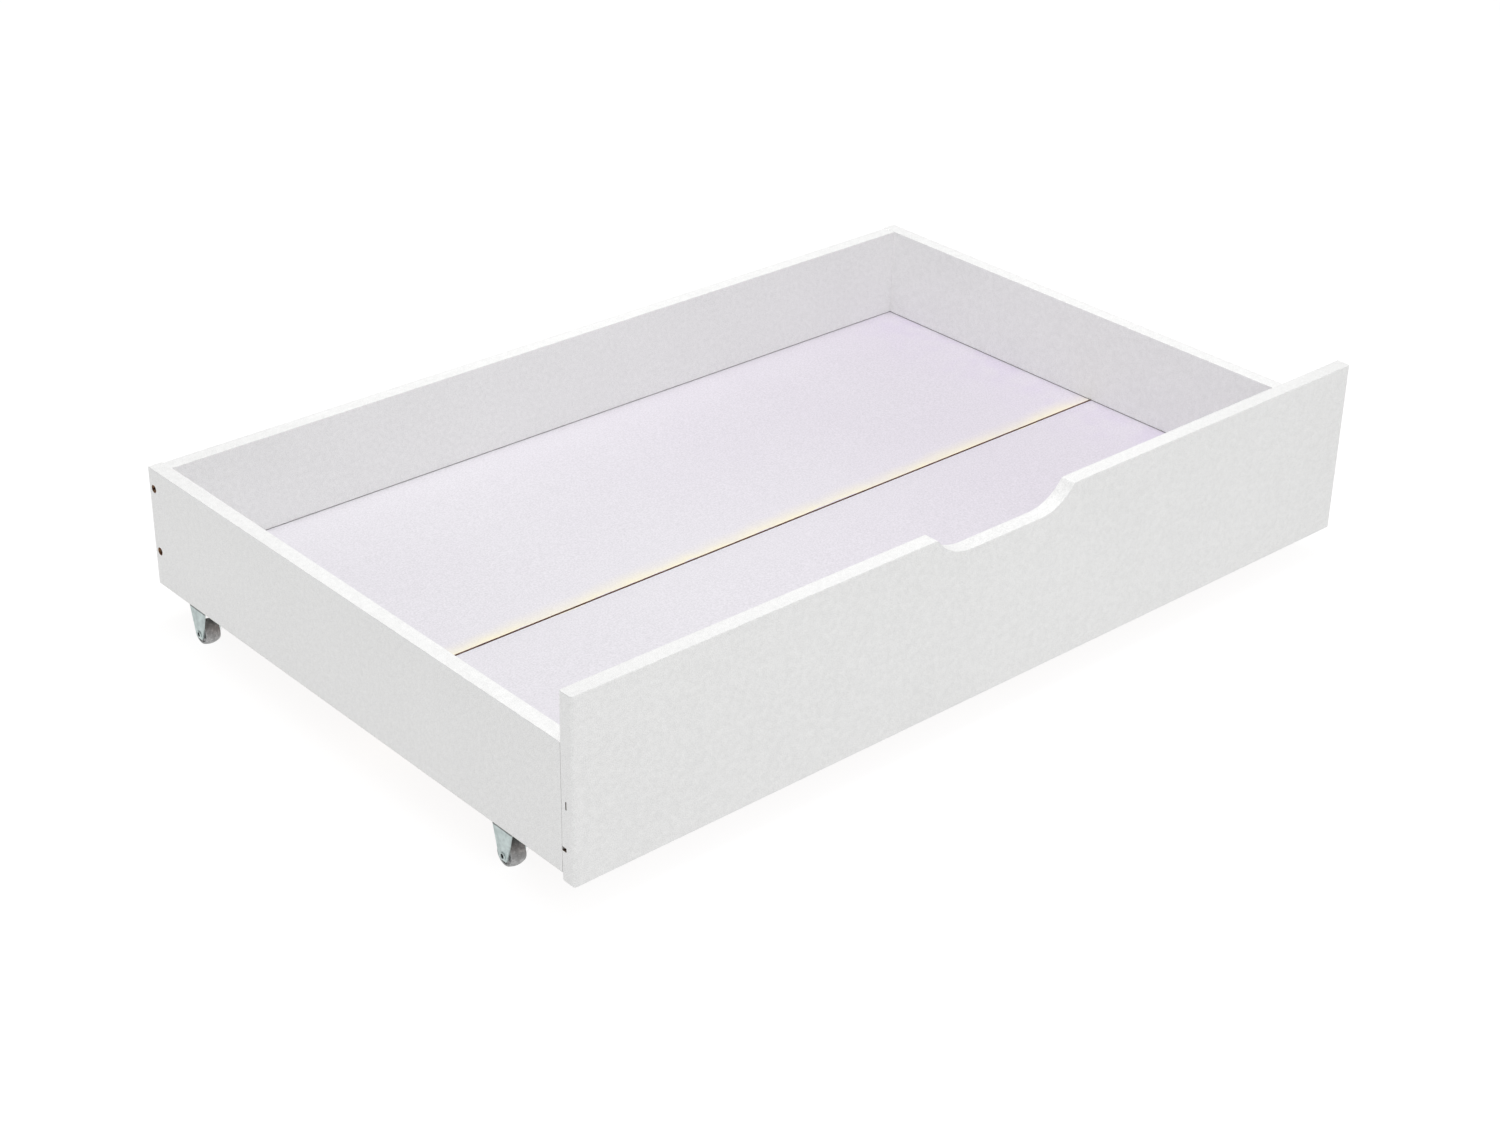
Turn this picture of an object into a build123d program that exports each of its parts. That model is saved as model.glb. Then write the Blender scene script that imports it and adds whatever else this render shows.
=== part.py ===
from build123d import *
import math
import os

# Under-bed storage box on four fixed casters.
# Frame: X runs along the front, Y from the front (-) to the back (+), Z up from the floor.
# The origin is on the floor, under the middle of the box.

# ---- driving dimensions, mm -------------------------------------------------------------
front_length = 1000.0      # the front's length, flush with both sides
box_depth = 660.0          # front's outer face to the back's outer face
board = 16.0               # thickness of the front, sides and back
side_height = 128.0        # height of the sides and the back
front_height = 185.0
front_drop = 8.0           # how far the front hangs below the sides
back_top_drop = 1.0        # the back stands this much lower than the sides
arris = 0.5                # eased edge of every board
front_end_round = 3.0      # upright edges at the ends of the front's outer face
front_back_round = 1.2     # upright edges at the ends of its inner face
front_heel_round = 3.0     # lower edge of its inner face

grip_width = 181.0         # finger grip cut in the front's top edge, from lip to lip
grip_flat = 90.0           # level stretch at the bottom of the grip
grip_depth = 22.5
grip_lip_radius = 3.0      # convex round where the grip leaves the top edge

sheet_thickness = 3.0      # the two bottom sheets
sheet_lift = 23.0          # underside of the sheets above the sides' lower edge
groove_play = 0.6          # groove height over the sheet's thickness
groove_depth = 6.0
sheet_end_play = 0.5       # sheet edge to the bottom of its groove
seam_from_front = 323.0    # middle of the joint between the two sheets
seam_gap = 1.7

rail_width = 40.0          # centre rail under the joint
rail_height = 18.0
rail_dowel_diameter = 6.0
rail_dowel_spacing = 24.0
rail_dowel_in_side = 9.0
rail_dowel_in_rail = 20.0

screw_length = 45.0        # wood screws through the sides into the back's ends
screw_diameter = 4.0
screw_head_diameter = 7.0
screw_head_height = 3.0
screw_sink = 2.4           # how deep the head lies in its hole
screw_heights = (38.2, 106.5)

cam_diameter = 15.0        # cam fittings that pull the front against the sides
cam_past_bolt = 4.5        # how far the cam reaches past the bolt's axis
cam_from_end = 34.0
cam_heights = (46.0, 104.0)
cam_bolt_diameter = 6.0
cam_neck_diameter = 4.4    # where the cam grips the bolt behind its head
cam_bolt_in_front = 11.0
cam_bolt_head_length = 4.0
cam_tunnel_play = 0.2      # radial, round the bolt where it enters the cam
dowel_diameter = 8.0
dowel_height = 75.0
dowel_in_front = 11.0
dowel_in_side = 20.0
recess_width = 1.2         # arms of the cross recess in screws and cams
recess_span = 3.6          # across the cross, arm tip to arm tip
recess_depth = 1.4

slit_height = 8.0          # short slit in each end of the front
slit_width = 1.6
slit_depth = 2.0
slit_from_face = 9.5
slit_level = 69.0          # above the sides' lower edge

wheel_diameter = 25.0      # at the crown
wheel_shoulder = 21.6      # diameter at the wheel's two side faces
wheel_width = 15.5
wheel_side_play = 0.5      # wheel face to cheek
hub_diameter = 9.0
rim_inner_diameter = 18.0
hub_recess = 1.2           # ring-shaped hollow in each wheel face
axle_drop = 29.5           # axle below the sides' lower edge
axle_diameter = 5.0
axle_bore_diameter = 2.8   # the axle is a tubular rivet
axle_head_diameter = 7.6
axle_head_height = 1.2
axle_play = 0.08           # radial running clearance in the wheel

fork_steel = 1.5           # sheet that the fork is bent from
fork_inset = 1.5           # outer cheek in from the side's outer face
fork_bend_radius = 1.0     # inside of the bends
fork_web_length = 34.0
fork_cheek_width = 27.0    # at the top
fork_eye_diameter = 13.0   # rounded end of the cheek, round the axle
fork_screw_spacing = 25.0
fork_screw_hole = 4.0
front_axle_from_face = 101.6
rear_axle_from_back = 67.0

caster_screw_diameter = 3.5
caster_screw_length = 16.0
caster_head_diameter = 6.6
caster_head_height = 2.2
caster_head_round = 1.3    # crown of the pan head
fastener_play = 0.05       # radial, round screws, bolts and dowels
depth_play = 0.5           # past the blind end of a dowel, bolt or screw

# ---- sizes worked out from the ones above -----------------------------------------------
side_bottom = axle_drop + wheel_diameter / 2
side_top = side_bottom + side_height
front_bottom = side_bottom - front_drop
front_top = front_bottom + front_height
half_length = front_length / 2
front_face = -box_depth / 2
front_back = front_face + board
back_face = box_depth / 2
back_inner = back_face - board
side_inner = half_length - board
side_middle = half_length - board / 2
back_middle = back_face - board / 2
sheet_bottom = side_bottom + sheet_lift
groove_height = sheet_thickness + groove_play
groove_middle = sheet_bottom + groove_height / 2
sheet_reach = groove_depth - sheet_end_play
seam = front_face + seam_from_front
cam_depth = board / 2 + cam_past_bolt
screw_head_slope = (screw_head_diameter - screw_diameter) / 2 / screw_head_height
rail_middle = sheet_bottom - rail_height / 2
rail_dowel_places = (seam - rail_dowel_spacing / 2, seam + rail_dowel_spacing / 2)

fork_width = wheel_width + 2 * wheel_side_play + 2 * fork_steel
caster_middle = half_length - fork_inset - fork_width / 2
axle_level = wheel_diameter / 2
front_axle = front_face + front_axle_from_face
rear_axle = back_face - rear_axle_from_back
fork_screw_places = (-fork_screw_spacing / 2, fork_screw_spacing / 2)

ends = (("left", -1), ("right", 1))
casters = [
    (f"{row}_{end}", sign, axle)
    for row, axle in (("front", front_axle), ("rear", rear_axle))
    for end, sign in ends
]


def write_node(part, node):
    """Writes one finished piece as its own file."""
    part.label = node
    export_step(part, f"parts/{node}.step")


def cross_recess(plane):
    """Cuts a cross recess into the open part, on the face that the plane lies on."""
    with BuildSketch(plane) as cross:
        Rectangle(recess_span, recess_width)
        Rectangle(recess_width, recess_span)
    extrude(cross.sketch, amount=-recess_depth, mode=Mode.SUBTRACT)


def blind_holes(plane, places, radius, depth):
    """Drills round holes from the plane, against its normal."""
    with BuildSketch(plane) as mouths:
        with Locations(*places):
            Circle(radius)
    extrude(mouths.sketch, amount=-depth, mode=Mode.SUBTRACT)


def facing(normal_x, x, y=0.0, z=0.0):
    """A plane whose normal runs along X, with its own x along Y and its own y along Z or down."""
    return Plane(origin=(x, y, z), x_dir=(0, 1, 0), z_dir=(normal_x, 0, 0))


def in_plane(normal_x, places):
    """Places given as (Y, Z) in the coordinates of facing(): its second axis flips with its normal."""
    return [(y, z * normal_x) for y, z in places]


os.makedirs("parts", exist_ok=True)

# ---- front panel ------------------------------------------------------------------------
grip_run = (grip_width - grip_flat) / 2
grip_radii = (grip_run**2 + grip_depth**2) / (2 * grip_depth)
grip_turn = math.degrees(math.asin(grip_run / grip_radii))
bolt_places = [(sign * side_middle, side_bottom + h) for _, sign in ends for h in cam_heights]
dowel_places = [(sign * side_middle, side_bottom + dowel_height) for _, sign in ends]

with BuildPart() as front_panel:
    with BuildSketch(Plane.XZ.offset(-front_face)):
        with Locations((0, (front_top + front_bottom) / 2)):
            Rectangle(front_length, front_height)
        with BuildLine():
            lip = JernArc((-grip_width / 2, front_top), (1, 0), grip_lip_radius, -grip_turn)
            sweep_in = JernArc(lip @ 1, lip % 1, grip_radii - grip_lip_radius, grip_turn)
            Line(sweep_in @ 1, (0, front_top - grip_depth))
            mirror(about=Plane.YZ)
            Line((-grip_width / 2, front_top), (grip_width / 2, front_top))
        make_face(mode=Mode.SUBTRACT)
    extrude(amount=-board)
    lower_back = front_panel.faces().sort_by(Axis.Z)[0].edges().sort_by(Axis.Y)[-1]
    fillet(lower_back, front_heel_round)
    outer_uprights = front_panel.edges().filter_by(Axis.Z).sort_by(Axis.Y)[:2]
    fillet(outer_uprights, front_end_round)
    inner_uprights = front_panel.edges().filter_by(Axis.Z).sort_by(Axis.Y)[-2:]
    fillet(inner_uprights, front_back_round)
    faces_by_depth = front_panel.faces().sort_by(Axis.Y)
    rims = faces_by_depth[0].edges() + faces_by_depth[-1].edges()
    fillet(rims.filter_by(lambda edge: edge.center().Z > front_top - grip_depth - arris), arris)
    with BuildSketch(Plane.YZ.offset(-half_length)):
        with Locations((front_back - groove_depth / 2, groove_middle)):
            Rectangle(groove_depth, groove_height)
    extrude(amount=front_length, mode=Mode.SUBTRACT)
    with Locations(
        *[(sign * half_length, front_face + slit_from_face, side_bottom + slit_level) for _, sign in ends]
    ):
        Box(2 * slit_depth, slit_width, slit_height, mode=Mode.SUBTRACT)
    behind = Plane(origin=(0, front_back, 0), x_dir=(-1, 0, 0), z_dir=(0, 1, 0))
    blind_holes(
        behind,
        [(-x, z) for x, z in bolt_places],
        cam_bolt_diameter / 2 + fastener_play,
        cam_bolt_in_front + depth_play,
    )
    blind_holes(
        behind,
        [(-x, z) for x, z in dowel_places],
        dowel_diameter / 2 + fastener_play,
        dowel_in_front + depth_play,
    )
write_node(front_panel.part, "front_panel")

# ---- sides ------------------------------------------------------------------------------
for end, sign in ends:
    inner = facing(-sign, sign * side_inner)
    outer = facing(sign, sign * half_length)
    with BuildPart() as side:
        with BuildSketch(Plane.XZ.offset(-front_back)):
            with Locations((sign * side_middle, side_bottom + side_height / 2)):
                Rectangle(board, side_height)
        extrude(amount=-(back_face - front_back))
        fillet(side.edges().filter_by(Axis.Y), arris)
        fillet(side.faces().sort_by(Axis.Y)[-1].edges(), arris)
        with BuildSketch(Plane.XZ.offset(-front_back)):
            with Locations((sign * (side_inner + groove_depth / 2), groove_middle)):
                Rectangle(groove_depth, groove_height)
        extrude(amount=-(back_face - front_back), mode=Mode.SUBTRACT)
        back_screws = in_plane(sign, [(back_middle, side_bottom + h) for h in screw_heights])
        blind_holes(
            outer, back_screws, screw_head_diameter / 2 + fastener_play, screw_sink + screw_head_height
        )
        blind_holes(outer, back_screws, screw_diameter / 2 + fastener_play, board)
        cams = [(front_back + cam_from_end, side_bottom + h) for h in cam_heights]
        blind_holes(
            inner, in_plane(-sign, cams), cam_diameter / 2 + fastener_play, cam_depth + fastener_play
        )
        rail_dowels = [(y, rail_middle) for y in rail_dowel_places]
        blind_holes(
            inner,
            in_plane(-sign, rail_dowels),
            rail_dowel_diameter / 2 + fastener_play,
            rail_dowel_in_side + depth_play,
        )
        front_end = Plane.XZ.offset(-front_back)
        blind_holes(
            front_end,
            [(sign * side_middle, side_bottom + h) for h in cam_heights],
            cam_bolt_diameter / 2 + fastener_play,
            cam_from_end,
        )
        blind_holes(
            front_end,
            [(sign * side_middle, side_bottom + dowel_height)],
            dowel_diameter / 2 + fastener_play,
            dowel_in_side + depth_play,
        )
        underside = Plane(origin=(0, 0, side_bottom), x_dir=(1, 0, 0), z_dir=(0, 0, -1))
        blind_holes(
            underside,
            [
                (sign * side_middle, -(axle + y))
                for axle in (front_axle, rear_axle)
                for y in fork_screw_places
            ],
            caster_screw_diameter / 2 + fastener_play,
            caster_screw_length - fork_steel + depth_play,
        )
    write_node(side.part, f"{end}_side")

# ---- back -------------------------------------------------------------------------------
with BuildPart() as back_panel:
    back_height = side_height - back_top_drop
    with BuildSketch(Plane.YZ.offset(-side_inner)):
        with Locations((back_middle, side_bottom + back_height / 2)):
            Rectangle(board, back_height)
    extrude(amount=2 * side_inner)
    fillet(back_panel.edges().filter_by(Axis.X), arris)
    with BuildSketch(Plane.YZ.offset(-side_inner)):
        with Locations((back_inner + groove_depth / 2, groove_middle)):
            Rectangle(groove_depth, groove_height)
    extrude(amount=2 * side_inner, mode=Mode.SUBTRACT)
    for end, sign in ends:
        blind_holes(
            facing(sign, sign * side_inner),
            in_plane(sign, [(back_middle, side_bottom + h) for h in screw_heights]),
            screw_diameter / 2 + fastener_play,
            screw_sink + screw_length - board + depth_play,
        )
write_node(back_panel.part, "back_panel")

# ---- bottom -----------------------------------------------------------------------------
sheet_length = 2 * (side_inner + sheet_reach)
sheet_edges = {
    "front": (front_back - sheet_reach, seam - seam_gap / 2),
    "rear": (seam + seam_gap / 2, back_inner + sheet_reach),
}
for row, (near, far) in sheet_edges.items():
    with BuildPart() as bottom_sheet:
        with BuildSketch(Plane.XY.offset(sheet_bottom)):
            with Locations((0, (near + far) / 2)):
                Rectangle(sheet_length, far - near)
        extrude(amount=sheet_thickness)
    write_node(bottom_sheet.part, f"bottom_sheet_{row}")

with BuildPart() as centre_rail:
    with BuildSketch(Plane.YZ.offset(-side_inner)):
        with Locations((seam, rail_middle)):
            Rectangle(rail_width, rail_height)
    extrude(amount=2 * side_inner)
    fillet(centre_rail.edges().filter_by(Axis.X), arris)
    for end, sign in ends:
        blind_holes(
            facing(sign, sign * side_inner),
            in_plane(sign, [(y, rail_middle) for y in rail_dowel_places]),
            rail_dowel_diameter / 2 + fastener_play,
            rail_dowel_in_rail + depth_play,
        )
write_node(centre_rail.part, "centre_rail")

# ---- joinery: wood screws, cam fittings and dowels --------------------------------------
with BuildPart() as back_screws:
    for end, sign in ends:
        for height in screw_heights:
            head = facing(
                sign, sign * (half_length - screw_sink), back_middle, side_bottom + height
            )
            with BuildSketch(head):
                Circle(screw_head_diameter / 2)
            extrude(amount=-screw_head_height, taper=math.degrees(math.atan(screw_head_slope)))
            with BuildSketch(head.offset(-screw_head_height / 2)):
                Circle(screw_diameter / 2)
            extrude(amount=-(screw_length - screw_head_height / 2))
            cross_recess(head)
write_node(back_screws.part, "back_screws")

with BuildPart() as cam_bolts:
    for end, sign in ends:
        for height in cam_heights:
            joint = Plane(
                origin=(sign * side_middle, front_back, side_bottom + height),
                x_dir=(1, 0, 0),
                z_dir=(0, -1, 0),
            )
            neck_start = cam_from_end - cam_diameter / 2 - depth_play
            head_start = cam_from_end - cam_bolt_head_length / 2
            with BuildSketch(joint.offset(cam_bolt_in_front)):
                Circle(cam_bolt_diameter / 2)
            extrude(amount=-(cam_bolt_in_front + neck_start))
            with BuildSketch(joint.offset(-neck_start)):
                Circle(cam_neck_diameter / 2)
            extrude(amount=-(head_start - neck_start))
            with BuildSketch(joint.offset(-head_start)):
                Circle(cam_bolt_diameter / 2)
            extrude(amount=-cam_bolt_head_length)
write_node(cam_bolts.part, "cam_bolts")

with BuildPart() as cam_locks:
    for end, sign in ends:
        for height in cam_heights:
            face = facing(
                -sign, sign * side_inner, front_back + cam_from_end, side_bottom + height
            )
            with BuildSketch(face):
                Circle(cam_diameter / 2)
            extrude(amount=-cam_depth)
            cross_recess(face)
    for end, sign in ends:
        for height in cam_heights:
            mouth = Plane(
                origin=(sign * side_middle, front_back, side_bottom + height),
                x_dir=(1, 0, 0),
                z_dir=(0, -1, 0),
            )
            with BuildSketch(mouth):
                Circle(cam_bolt_diameter / 2 + cam_tunnel_play)
            extrude(amount=-(cam_from_end + cam_bolt_head_length), mode=Mode.SUBTRACT)
write_node(cam_locks.part, "cam_locks")

with BuildPart() as front_dowels:
    for x, z in dowel_places:
        with BuildSketch(Plane.XZ.offset(dowel_in_front - front_back)):
            with Locations((x, z)):
                Circle(dowel_diameter / 2)
        extrude(amount=-(dowel_in_front + dowel_in_side))
    tips = front_dowels.edges().filter_by(GeomType.CIRCLE)
    chamfer(tips.group_by(Axis.Y)[0] + tips.group_by(Axis.Y)[-1], arris)
write_node(front_dowels.part, "front_dowels")

with BuildPart() as rail_dowels:
    for end, sign in ends:
        for y in rail_dowel_places:
            with BuildSketch(facing(sign, sign * side_inner, y, rail_middle)):
                Circle(rail_dowel_diameter / 2)
            extrude(amount=rail_dowel_in_side)
            with BuildSketch(facing(sign, sign * side_inner, y, rail_middle)):
                Circle(rail_dowel_diameter / 2)
            extrude(amount=-rail_dowel_in_rail)
write_node(rail_dowels.part, "rail_dowels")

# ---- casters ----------------------------------------------------------------------------
web_underside = side_bottom - fork_steel
eye_radius = fork_eye_diameter / 2
fork_height = side_bottom - axle_level + eye_radius
cheek_height = web_underside - axle_level
# Where the cheek's straight flank runs into its round eye, from the axle.
corner_distance = math.hypot(fork_cheek_width / 2, cheek_height)
corner_angle = math.atan2(cheek_height, fork_cheek_width / 2)
tangent_angle = corner_angle - math.acos(eye_radius / corner_distance)
tangent_y = eye_radius * math.cos(tangent_angle)
tangent_z = eye_radius * math.sin(tangent_angle)

for corner, sign, axle in casters:
    middle = sign * caster_middle
    with BuildPart() as caster_fork:
        # The sheet's section: a channel, open downwards, bent at both upper corners.
        with BuildSketch(Plane.XZ.offset(-(axle - fork_web_length / 2))) as section:
            with Locations((middle, side_bottom - fork_height / 2)):
                Rectangle(fork_width, fork_height)
            top_corners = section.vertices().group_by(Axis.Z)[-1]
            fillet(top_corners, fork_bend_radius + fork_steel)
            with BuildSketch(
                Plane.XZ.offset(-(axle - fork_web_length / 2)), mode=Mode.SUBTRACT
            ) as hollow:
                with Locations((middle, web_underside - fork_height / 2)):
                    Rectangle(fork_width - 2 * fork_steel, fork_height)
                hollow_corners = hollow.vertices().group_by(Axis.Z)[-1]
                fillet(hollow_corners, fork_bend_radius)
        extrude(amount=-fork_web_length)
        # The cheeks' outline: tapered from the web to a round eye at the axle.
        with BuildSketch(Plane.YZ.offset(middle - fork_width)):
            with Locations((axle, axle_level)):
                Circle(eye_radius)
                Polygon(
                    (-fork_cheek_width / 2, cheek_height),
                    (-tangent_y, tangent_z),
                    (tangent_y, tangent_z),
                    (fork_cheek_width / 2, cheek_height),
                    align=None,
                )
            with Locations((axle, side_bottom - fork_steel / 2)):
                Rectangle(fork_web_length, fork_steel)
        extrude(amount=2 * fork_width, mode=Mode.INTERSECT)
        with BuildSketch(Plane.YZ.offset(middle - fork_width)):
            with Locations((axle, axle_level)):
                Circle(axle_diameter / 2 + fastener_play)
        extrude(amount=2 * fork_width, mode=Mode.SUBTRACT)
        with BuildSketch(Plane.XY.offset(side_bottom)):
            with Locations(*[(sign * side_middle, axle + y) for y in fork_screw_places]):
                Circle(fork_screw_hole / 2)
        extrude(amount=-fork_steel, mode=Mode.SUBTRACT)
    write_node(caster_fork.part, f"caster_fork_{corner}")

    with BuildPart() as wheel:
        with BuildSketch(Plane(origin=(middle, axle, axle_level), x_dir=(1, 0, 0), z_dir=(0, -1, 0))):
            half = wheel_width / 2
            with BuildLine():
                tread = ThreePointArc(
                    (-half, wheel_shoulder / 2), (0, wheel_diameter / 2), (half, wheel_shoulder / 2)
                )
                Polyline(
                    tread @ 1,
                    (half, rim_inner_diameter / 2),
                    (half - hub_recess, rim_inner_diameter / 2),
                    (half - hub_recess, hub_diameter / 2),
                    (half, hub_diameter / 2),
                    (half, axle_diameter / 2 + axle_play),
                    (-half, axle_diameter / 2 + axle_play),
                    (-half, hub_diameter / 2),
                    (-half + hub_recess, hub_diameter / 2),
                    (-half + hub_recess, rim_inner_diameter / 2),
                    (-half, rim_inner_diameter / 2),
                    tread @ 0,
                )
            make_face()
        revolve(axis=Axis((middle, axle, axle_level), (1, 0, 0)))
    write_node(wheel.part, f"wheel_{corner}")

    with BuildPart() as axle_rivet:
        span = fork_width / 2 + axle_head_height
        with BuildSketch(facing(1, middle - span, axle, axle_level)):
            Circle(axle_diameter / 2)
        extrude(amount=2 * span)
        for head_sign in (-1, 1):
            with BuildSketch(facing(head_sign, middle + head_sign * fork_width / 2, axle, axle_level)):
                Circle(axle_head_diameter / 2)
            extrude(amount=axle_head_height)
        fillet(
            axle_rivet.edges().filter_by(GeomType.CIRCLE).group_by(Axis.X)[0]
            + axle_rivet.edges().filter_by(GeomType.CIRCLE).group_by(Axis.X)[-1],
            axle_head_height / 2,
        )
        with BuildSketch(facing(1, middle - span, axle, axle_level)):
            Circle(axle_bore_diameter / 2)
        extrude(amount=2 * span, mode=Mode.SUBTRACT)
    write_node(axle_rivet.part, f"axle_{corner}")

with BuildPart() as caster_screws:
    for corner, sign, axle in casters:
        for y in fork_screw_places:
            seat = Plane(
                origin=(sign * side_middle, axle + y, web_underside), x_dir=(1, 0, 0), z_dir=(0, 0, -1)
            )
            with BuildSketch(seat):
                Circle(caster_head_diameter / 2)
            extrude(amount=caster_head_height)
            with BuildSketch(seat):
                Circle(caster_screw_diameter / 2)
            extrude(amount=-caster_screw_length)
    crowns = caster_screws.edges().filter_by(GeomType.CIRCLE).group_by(Axis.Z)[0]
    fillet(crowns, caster_head_round)
    for corner, sign, axle in casters:
        for y in fork_screw_places:
            cross_recess(
                Plane(
                    origin=(sign * side_middle, axle + y, web_underside - caster_head_height),
                    x_dir=(1, 0, 0),
                    z_dir=(0, 0, -1),
                )
            )
write_node(caster_screws.part, "caster_screws")
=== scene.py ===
import math

import bmesh
import bpy
from bpy.props import FloatProperty, FloatVectorProperty, IntProperty, PointerProperty
from bpy.types import Operator, Panel, PropertyGroup
from mathutils import Matrix, Vector


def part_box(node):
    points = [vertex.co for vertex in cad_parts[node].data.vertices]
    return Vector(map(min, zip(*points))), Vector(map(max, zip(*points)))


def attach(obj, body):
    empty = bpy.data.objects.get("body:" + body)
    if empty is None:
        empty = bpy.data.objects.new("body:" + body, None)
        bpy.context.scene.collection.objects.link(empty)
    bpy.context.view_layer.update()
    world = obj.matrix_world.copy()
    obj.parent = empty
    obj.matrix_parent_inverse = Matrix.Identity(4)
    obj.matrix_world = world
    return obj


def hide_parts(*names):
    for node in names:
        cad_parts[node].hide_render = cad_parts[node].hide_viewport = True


bl_info = {
    "name": "Under Bed Box",
    "version": (1, 0, 0),
    "blender": (4, 5, 0),
    "location": "3D View > Sidebar > Under Bed Box",
    "description": "Finishes, casters and studio for a rolling under bed box",
    "category": "Object",
}

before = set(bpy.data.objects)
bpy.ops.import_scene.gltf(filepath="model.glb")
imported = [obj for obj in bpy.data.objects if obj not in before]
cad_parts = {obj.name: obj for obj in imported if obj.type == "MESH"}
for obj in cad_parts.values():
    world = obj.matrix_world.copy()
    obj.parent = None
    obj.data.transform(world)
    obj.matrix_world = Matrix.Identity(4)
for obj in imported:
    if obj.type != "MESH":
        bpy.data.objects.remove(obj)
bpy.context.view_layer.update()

MM = 0.001
CORNERS = ("front_left", "front_right", "rear_left", "rear_right")
NEAR = 0.01 * MM  # how close a vertex or face has to be to the place it is picked by
EDGE = 0.1 * MM  # how softly a painted area ends

# Cuts in the boards.
GROOVE_DEPTH = 6 * MM
GROOVE_BELOW_SHEET = 0.2 * MM
GROOVE_ABOVE_SHEET = 0.9 * MM
GRIP_WIDTH = 181 * MM
GRIP_DEPTH = 22.5 * MM
SLIT_LEVEL = 69 * MM  # its middle, above the sides' lower edge
SLIT_REACH = 4.1 * MM  # from its middle to either end
SLIT_NEAR, SLIT_FAR = 8.6 * MM, 10.4 * MM  # behind the front's face
SCREW_HEAD_RADIUS = 3.5 * MM
SCREW_HOLE_RADIUS = 4.1 * MM  # with the chipped rim

# Casters: radii about the axle, and depths along it.
SHANK_RADIUS = 2.5 * MM
RIVET_BORE = 1.4 * MM
RIVET_HEAD = 1.2 * MM
WHEEL_SHOULDER = 10.8 * MM
WHEEL_RIM = 9.0 * MM
WHEEL_HUB = 4.5 * MM
WHEEL_BORE = 2.58 * MM
WHEEL_HOLLOW = 1.2 * MM
RIB_HEIGHT = 0.8 * MM
RIBS = 6

# Woods, light and dark, and the stretch that lays their grain along one axis.
PINE = ((0.70, 0.50, 0.28), (0.50, 0.31, 0.15))
BEECH = ((0.68, 0.47, 0.30), (0.52, 0.33, 0.19))
ALONG_X = (0.12, 1.0, 1.0)
ALONG_Y = (1.0, 0.12, 1.0)

# Where the soft lights stand, and how large they are.
TOP_SOFTBOX = ((0.08, -0.05, 1.75), (1.2, 1.0))
FILL_SOFTBOX = ((-1.7, -3.4, 2.8), (2.6, 2.2))
FLOOR_SIZE = 80.0


# ---- places read from the frame ----------------------------------------------------------


def middle(node):
    """Centre of a CAD node's box."""
    low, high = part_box(node)
    return (low + high) / 2


def span(node):
    """Size of a CAD node's box."""
    low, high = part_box(node)
    return high - low


# ---- modelling helpers -------------------------------------------------------------------


def deselect_all():
    """Leaves edit mode, and nothing selected."""
    if bpy.context.mode != "OBJECT":
        bpy.ops.object.mode_set(mode="OBJECT")
    bpy.ops.object.select_all(action="DESELECT")


def only(piece):
    """Leaves one piece selected and active."""
    deselect_all()
    piece.select_set(True)
    bpy.context.view_layer.objects.active = piece


def pick(kind, test):
    """In edit mode, selects just the vertices, edges or faces that pass the test."""
    bpy.ops.mesh.select_mode(type=kind)
    bpy.ops.mesh.select_all(action="DESELECT")
    data = bpy.context.active_object.data
    mesh = bmesh.from_edit_mesh(data)
    items = {"VERT": mesh.verts, "EDGE": mesh.edges, "FACE": mesh.faces}[kind]
    found = 0
    for item in items:
        if test(item):
            item.select_set(True)
            found += 1
    if not found:
        raise RuntimeError(f"nothing to select on {bpy.context.active_object.name}")
    mesh.select_flush_mode()
    bmesh.update_edit_mesh(data)


def apply_modifier(piece, kind, **settings):
    """Adds a modifier with these settings and applies it."""
    only(piece)
    modifier = piece.modifiers.new(kind.title(), kind)
    for name, value in settings.items():
        setattr(modifier, name, value)
    bpy.ops.object.modifier_apply(modifier=modifier.name)


def settle(piece, name, angle=35):
    """Names a finished piece, puts its place into its mesh and shades it."""
    only(piece)
    bpy.ops.object.transform_apply(location=True, rotation=True, scale=True)
    bpy.ops.object.shade_smooth_by_angle(angle=math.radians(angle))
    piece.name = name
    piece.data.name = name
    return piece


def copy_of(piece, name, step):
    """A copy of a piece, a step away, with its place in a mesh of its own."""
    only(piece)
    bpy.ops.object.duplicate(linked=False)
    bpy.ops.transform.translate(value=step)
    bpy.ops.object.transform_apply(location=True, rotation=True, scale=True)
    twin = bpy.context.active_object
    twin.name = name
    twin.data.name = name
    return twin


def hand_over(piece, body, slot, *nodes):
    """Says which body carries a finished piece and the CAD nodes it replaces; the slot is not used."""
    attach(piece, body)
    if nodes:
        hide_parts(*nodes)


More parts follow.
